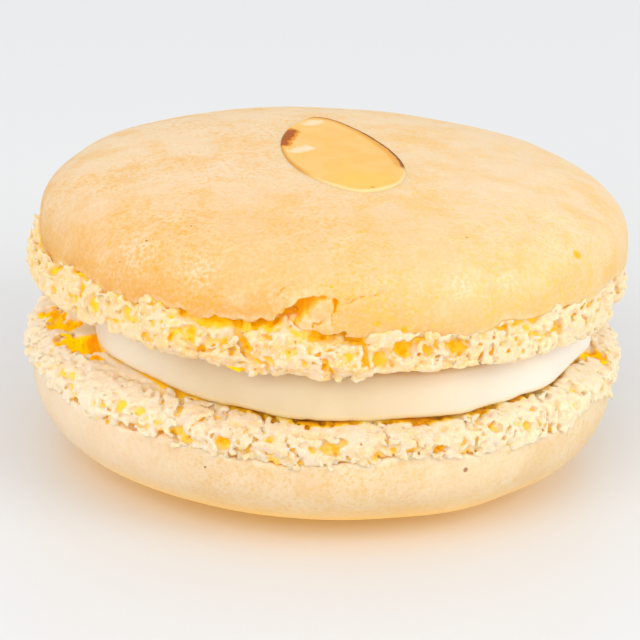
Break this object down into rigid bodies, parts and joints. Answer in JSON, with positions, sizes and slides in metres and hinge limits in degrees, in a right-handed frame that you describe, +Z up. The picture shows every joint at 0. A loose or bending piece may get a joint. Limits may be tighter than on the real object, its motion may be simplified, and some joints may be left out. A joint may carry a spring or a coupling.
{
  "type": "french macaron",
  "caption": "Filled almond meringue biscuit: a smooth domed shell above and below a disc of cream, ruffled feet, a slice of almond on top.",
  "frame": {"origin": "middle of the footprint, on the surface that the macaron stands on", "axes": "+Z up, the front with the chipped crust towards -Y, +X to the right of the front"},
  "size_m": [0.0502, 0.0504, 0.0257],
  "materials": {
    "shell": "baked almond meringue, smooth satin crust, porous crumb foot",
    "cream": "smooth buttercream with a soft sheen",
    "almond": "toasted sliced almond with a rim of brown skin"
  },
  "bodies": {
    "root": {"shell_bottom": "shell", "filling": "cream", "shell_top": "shell", "almond_slice": "almond"}
  },
  "joints": []
}
